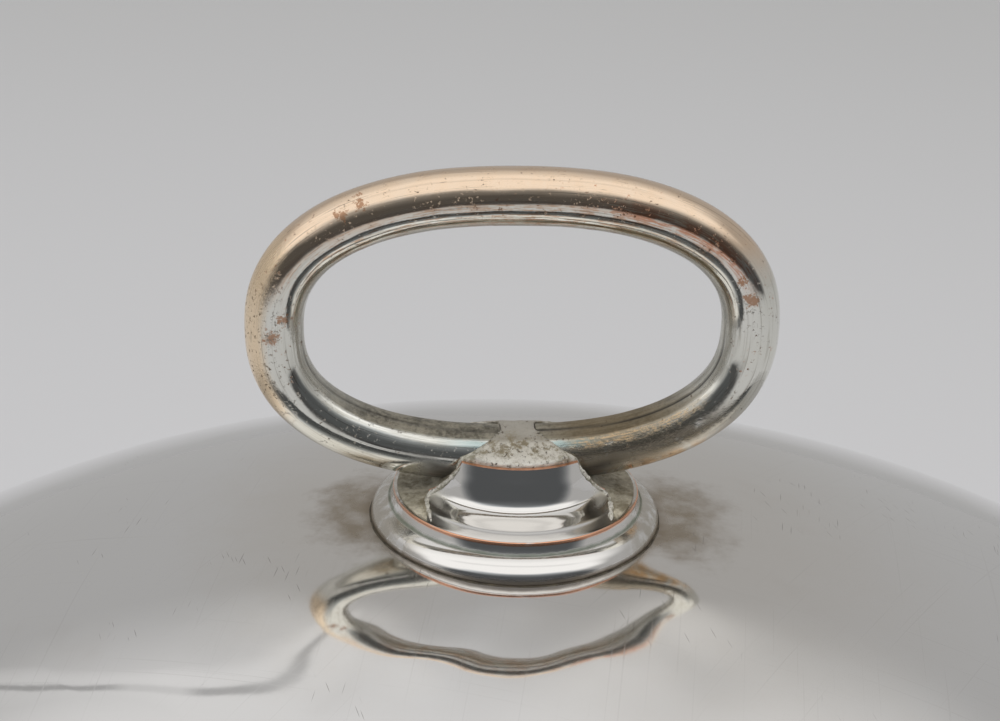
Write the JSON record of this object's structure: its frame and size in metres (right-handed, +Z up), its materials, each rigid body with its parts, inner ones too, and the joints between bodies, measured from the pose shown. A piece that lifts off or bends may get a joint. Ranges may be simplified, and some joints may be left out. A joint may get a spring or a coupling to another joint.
{
  "type": "oval dish cover",
  "caption": "Oval silver-plated dish cover: a raised dome with a bordered rim and an upright oval ring handle set in a flared round foot.",
  "frame": {"origin": "middle of the flat underside of the rim, on the surface that the cover stands on", "axes": "+X along the oval's long axis and the ring handle, +Y across it, +Z up through the handle"},
  "size_m": [0.475, 0.393, 0.2217],
  "materials": {
    "silver_plate": "old silver plate, polished, hazed and finely scratched, bleeding to copper at sharp edges",
    "worn_plate": "silver plate worn to rose copper along the top, tarnished below",
    "soft_solder": "dull grey soft solder, porous and stained",
    "bare_copper": "dull brown copper sheet",
    "old_brass": "dull yellow brass with brown tarnish"
  },
  "bodies": {
    "root": {"dome": "silver_plate", "rim_moulding": "silver_plate", "rim_filling": "soft_solder", "edge_wire": "silver_plate", "foot_base": "silver_plate", "foot_bell": "silver_plate", "foot_loading": "soft_solder", "ring_handle": "worn_plate", "joint_dowel": "old_brass", "saddle_solder": "soft_solder", "stud": "old_brass", "backing_disc": "bare_copper", "washer": "old_brass", "square_nut": "old_brass"}
  },
  "joints": []
}
